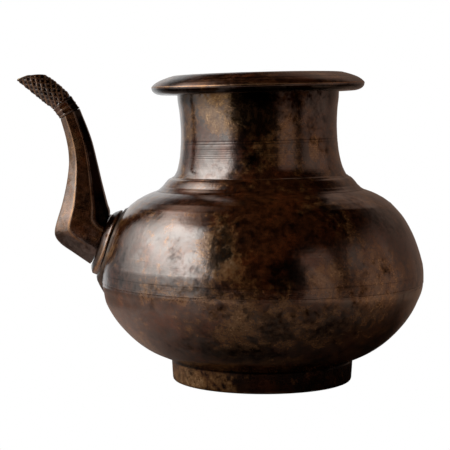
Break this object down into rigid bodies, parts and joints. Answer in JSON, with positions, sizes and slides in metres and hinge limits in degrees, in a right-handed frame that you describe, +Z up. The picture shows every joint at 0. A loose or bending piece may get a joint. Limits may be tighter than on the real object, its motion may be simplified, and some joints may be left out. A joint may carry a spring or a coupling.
{
  "type": "spouted water pot",
  "caption": "Squat round brass water pot with a ring foot, a wide waisted neck, a heavy rolled rim and an upright eight-sided spout with a cross-hatched nozzle.",
  "frame": {"origin": "middle of the whole object's box, on the plane the foot rests on; the pot's own axis is 24.7 mm towards +X", "axes": "+Z up from the foot, -X the way the spout points"},
  "size_m": [0.2393, 0.19, 0.1815],
  "materials": {
    "body_brass": "dark brown patina with rubbed golden patches",
    "trim_brass": "dark patina, bright worn edges",
    "spout_brass": "rubbed tan patina on flat facets",
    "nozzle_brass": "dark patina, cross-hatched",
    "braze": "dull hard solder",
    "solder": "grey-brown dull solder"
  },
  "bodies": {
    "root": {"lower_shell": "body_brass", "upper_shell": "body_brass", "neck": "body_brass", "neck_collar": "body_brass", "rim_ring": "trim_brass", "foot_ring": "trim_brass", "spout_flange": "trim_brass", "spout_collar": "trim_brass", "spout_nozzle": "nozzle_brass", "spout_tube": "spout_brass", "belly_braze": "braze", "foot_braze": "braze", "neck_braze": "braze", "rim_braze": "braze", "flange_solder": "solder", "spout_braze": "solder"}
  },
  "joints": []
}
